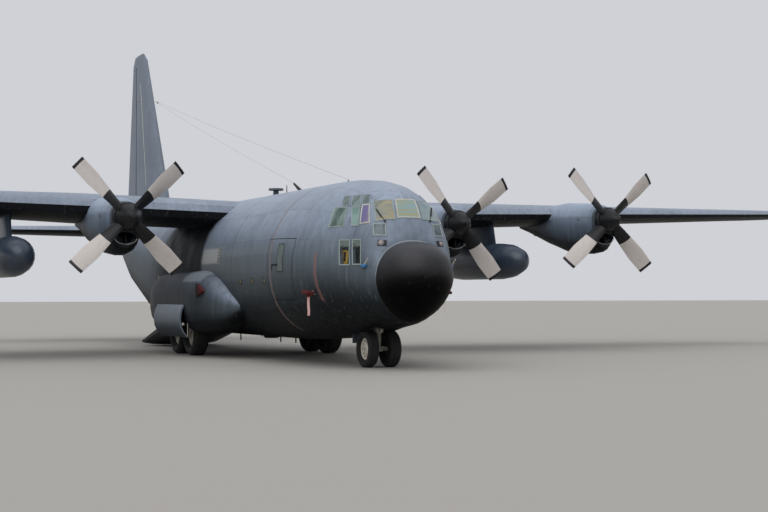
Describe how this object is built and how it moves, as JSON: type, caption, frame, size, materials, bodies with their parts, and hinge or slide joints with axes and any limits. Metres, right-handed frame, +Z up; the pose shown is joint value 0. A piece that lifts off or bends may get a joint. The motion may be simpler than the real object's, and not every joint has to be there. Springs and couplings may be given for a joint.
{
  "type": "military transport aircraft, four-engined, high-winged, 1:2 scale model",
  "caption": "High-winged military transport aircraft at 1:2 on its wheels: hollow hold, lowered rear ramp, turning propellers and hinged control surfaces.",
  "frame": {"origin": "on the ground, on the aircraft's middle plane, halfway between the tip of the nose and the end of the tail", "axes": "+X towards the port wing tip, +Y towards the tail, +Z up, with the aircraft standing on its wheels"},
  "size_m": [20.205, 14.9088, 5.815],
  "materials": {
    "matt_grey_paint": "matt blue-grey camouflage paint, streaked and faded",
    "nacelle_paint": "matt blue-grey paint with oil and heat stains",
    "tank_paint": "darker blue-grey paint, soft gloss",
    "floor_paint": "dark grey non-slip coating",
    "radome_coating": "black matt rain-erosion coating on glass fibre",
    "blade_paint": "pale grey paint, dark cuffs and tips, worn",
    "gear_enamel": "pale grey enamel, dusty",
    "tyre": "black ribbed rubber on a cream rim",
    "cockpit_paint": "dark grey matt cockpit paint",
    "window_glass": "clear laminated glazing with a green tint"
  },
  "bodies": {
    "airframe": {"radome": "radome_coating", "nose_fuselage": "matt_grey_paint", "windscreen_glass": "window_glass", "flight_deck": "cockpit_paint", "centre_fuselage": "matt_grey_paint", "cargo_floor": "floor_paint", "aft_fuselage": "matt_grey_paint", "tail_cone": "matt_grey_paint", "wing_centre": "matt_grey_paint", "stabilizer": "matt_grey_paint", "fin": "matt_grey_paint", "nose_leg": "gear_enamel", "nose_gear_door": "matt_grey_paint", "lower_glass_port": "window_glass", "wing_port": "matt_grey_paint", "flap_inner_port": "matt_grey_paint", "flap_outer_port": "matt_grey_paint", "paratroop_door_port": "matt_grey_paint", "tank_port": "tank_paint", "gear_fairing_port": "matt_grey_paint", "gear_door_port": "matt_grey_paint", "main_leg_port": "gear_enamel", "lower_glass_starboard": "window_glass", "wing_starboard": "matt_grey_paint", "flap_inner_starboard": "matt_grey_paint", "flap_outer_starboard": "matt_grey_paint", "paratroop_door_starboard": "matt_grey_paint", "tank_starboard": "tank_paint", "gear_fairing_starboard": "matt_grey_paint", "gear_door_starboard": "matt_grey_paint", "main_leg_starboard": "gear_enamel", "nacelle_outer_starboard": "nacelle_paint", "nacelle_inner_starboard": "nacelle_paint", "nacelle_inner_port": "nacelle_paint", "nacelle_outer_port": "nacelle_paint"},
    "crew_door": {"crew_door": "matt_grey_paint"},
    "cargo_ramp": {"cargo_ramp": "floor_paint"},
    "aft_cargo_door": {"aft_cargo_door": "matt_grey_paint"},
    "rudder": {"rudder": "matt_grey_paint"},
    "nose_steering": {"nose_fork": "gear_enamel"},
    "nose_wheels": {"nose_wheel_port": "tyre", "nose_wheel_starboard": "tyre"},
    "propeller_outer_starboard": {"propeller_outer_starboard": "blade_paint"},
    "propeller_inner_starboard": {"propeller_inner_starboard": "blade_paint"},
    "propeller_inner_port": {"propeller_inner_port": "blade_paint"},
    "propeller_outer_port": {"propeller_outer_port": "blade_paint"},
    "main_wheel_front_port": {"main_wheel_front_port": "tyre"},
    "main_wheel_rear_port": {"main_wheel_rear_port": "tyre"},
    "aileron_port": {"aileron_port": "matt_grey_paint"},
    "elevator_port": {"elevator_port": "matt_grey_paint"},
    "main_wheel_front_starboard": {"main_wheel_front_starboard": "tyre"},
    "main_wheel_rear_starboard": {"main_wheel_rear_starboard": "tyre"},
    "aileron_starboard": {"aileron_starboard": "matt_grey_paint"},
    "elevator_starboard": {"elevator_starboard": "matt_grey_paint"}
  },
  "joints": [
    {"name": "propeller_outer_starboard_spin", "type": "hinge", "parent": "airframe", "child": "propeller_outer_starboard", "pos_m": [-5.238, -3.0575, 2.115], "axis": [0, 1, 0], "continuous": true},
    {"name": "propeller_inner_starboard_spin", "type": "hinge", "parent": "airframe", "child": "propeller_inner_starboard", "pos_m": [-2.561, -3.0575, 2.01], "axis": [0, 1, 0], "continuous": true},
    {"name": "propeller_inner_port_spin", "type": "hinge", "parent": "airframe", "child": "propeller_inner_port", "pos_m": [2.561, -3.0575, 2.01], "axis": [0, 1, 0], "continuous": true},
    {"name": "propeller_outer_port_spin", "type": "hinge", "parent": "airframe", "child": "propeller_outer_port", "pos_m": [5.238, -3.0575, 2.115], "axis": [0, 1, 0], "continuous": true},
    {"name": "main_wheel_front_port_roll", "type": "hinge", "parent": "airframe", "child": "main_wheel_front_port", "pos_m": [1.0875, -1.3785, 0.35063], "axis": [1, 0, 0], "continuous": true},
    {"name": "main_wheel_rear_port_roll", "type": "hinge", "parent": "airframe", "child": "main_wheel_rear_port", "pos_m": [1.0875, -0.6165, 0.35063], "axis": [1, 0, 0], "continuous": true},
    {"name": "aileron_port_hinge", "type": "hinge", "parent": "airframe", "child": "aileron_port", "pos_m": [6.4, -0.2852, 2.26893], "axis": [0.9965, -0.0797, 0.0257], "range_deg": [-15, 25]},
    {"name": "elevator_port_hinge", "type": "hinge", "parent": "airframe", "child": "elevator_port", "pos_m": [0.59, 6.39545, 2.165], "axis": [0.9983, -0.0585, 0], "range_deg": [-15, 40]},
    {"name": "main_wheel_front_starboard_roll", "type": "hinge", "parent": "airframe", "child": "main_wheel_front_starboard", "pos_m": [-1.0875, -1.3785, 0.35063], "axis": [1, 0, 0], "continuous": true},
    {"name": "main_wheel_rear_starboard_roll", "type": "hinge", "parent": "airframe", "child": "main_wheel_rear_starboard", "pos_m": [-1.0875, -0.6165, 0.35063], "axis": [1, 0, 0], "continuous": true},
    {"name": "aileron_starboard_hinge", "type": "hinge", "parent": "airframe", "child": "aileron_starboard", "pos_m": [-6.4, -0.2852, 2.26893], "axis": [0.9965, 0.0797, -0.0257], "range_deg": [-15, 25]},
    {"name": "elevator_starboard_hinge", "type": "hinge", "parent": "airframe", "child": "elevator_starboard", "pos_m": [-0.59, 6.39545, 2.165], "axis": [0.9983, 0.0585, 0], "range_deg": [-15, 40]},
    {"name": "rudder_hinge", "type": "hinge", "parent": "airframe", "child": "rudder", "pos_m": [0, 6.24247, 2.5], "axis": [0, 0.1034, 0.9946], "range_deg": [-35, 35]},
    {"name": "crew_door_hinge", "type": "hinge", "parent": "airframe", "child": "crew_door", "pos_m": [0.7425, -5.1275, 0.5975], "axis": [0, 1, 0], "range_deg": [0, 110]},
    {"name": "cargo_ramp_hinge", "type": "hinge", "parent": "airframe", "child": "cargo_ramp", "pos_m": [0, 1.4775, 0.48], "axis": [1, 0, 0], "range_deg": [0, 30.6]},
    {"name": "aft_cargo_door_hinge", "type": "hinge", "parent": "airframe", "child": "aft_cargo_door", "pos_m": [0, 4.7225, 1.58917], "axis": [1, 0, 0], "range_deg": [0, 31]},
    {"name": "nose_steering", "type": "hinge", "parent": "airframe", "child": "nose_steering", "pos_m": [0, -5.8975, 0.4], "axis": [0, 0, 1], "range_deg": [-60, 60]},
    {"name": "nose_wheels_roll", "type": "hinge", "parent": "nose_steering", "child": "nose_wheels", "pos_m": [0, -5.8975, 0.23705], "axis": [1, 0, 0], "continuous": true}
  ]
}
